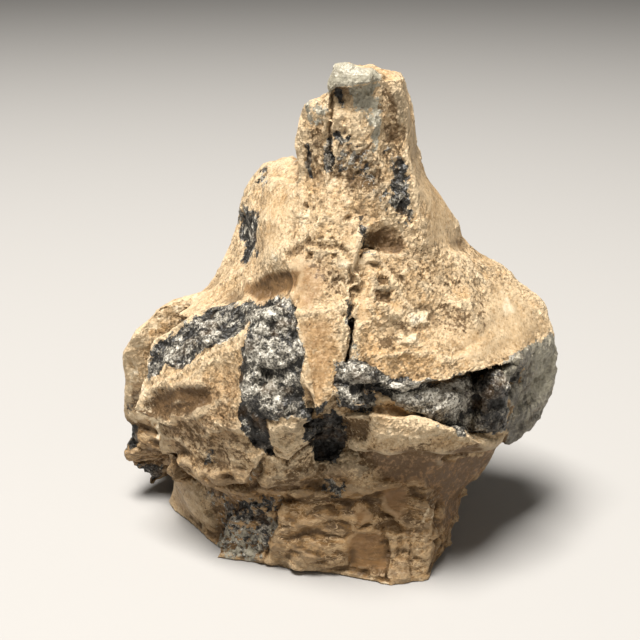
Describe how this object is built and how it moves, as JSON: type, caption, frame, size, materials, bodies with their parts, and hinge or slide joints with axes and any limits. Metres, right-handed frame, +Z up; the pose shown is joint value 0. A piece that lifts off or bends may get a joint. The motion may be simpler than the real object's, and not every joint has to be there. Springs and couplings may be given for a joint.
{
  "type": "fossil bone in stone",
  "caption": "Broken block of dark fossil bone fused with tan stone: a blunt spire over a broad lumpy body, standing on a flat foot. Natural display specimen.",
  "frame": {"origin": "under the middle of the block, on the flat face that it rests on", "axes": "+Z up along the spire, -Y out of the broad side where the bone shows"},
  "size_m": [0.098, 0.0712, 0.104],
  "materials": {
    "fossil_stone": "rough broken stone, tan crust with dark bone showing"
  },
  "bodies": {
    "root": {"fossil_bone": "fossil_stone"}
  },
  "joints": []
}
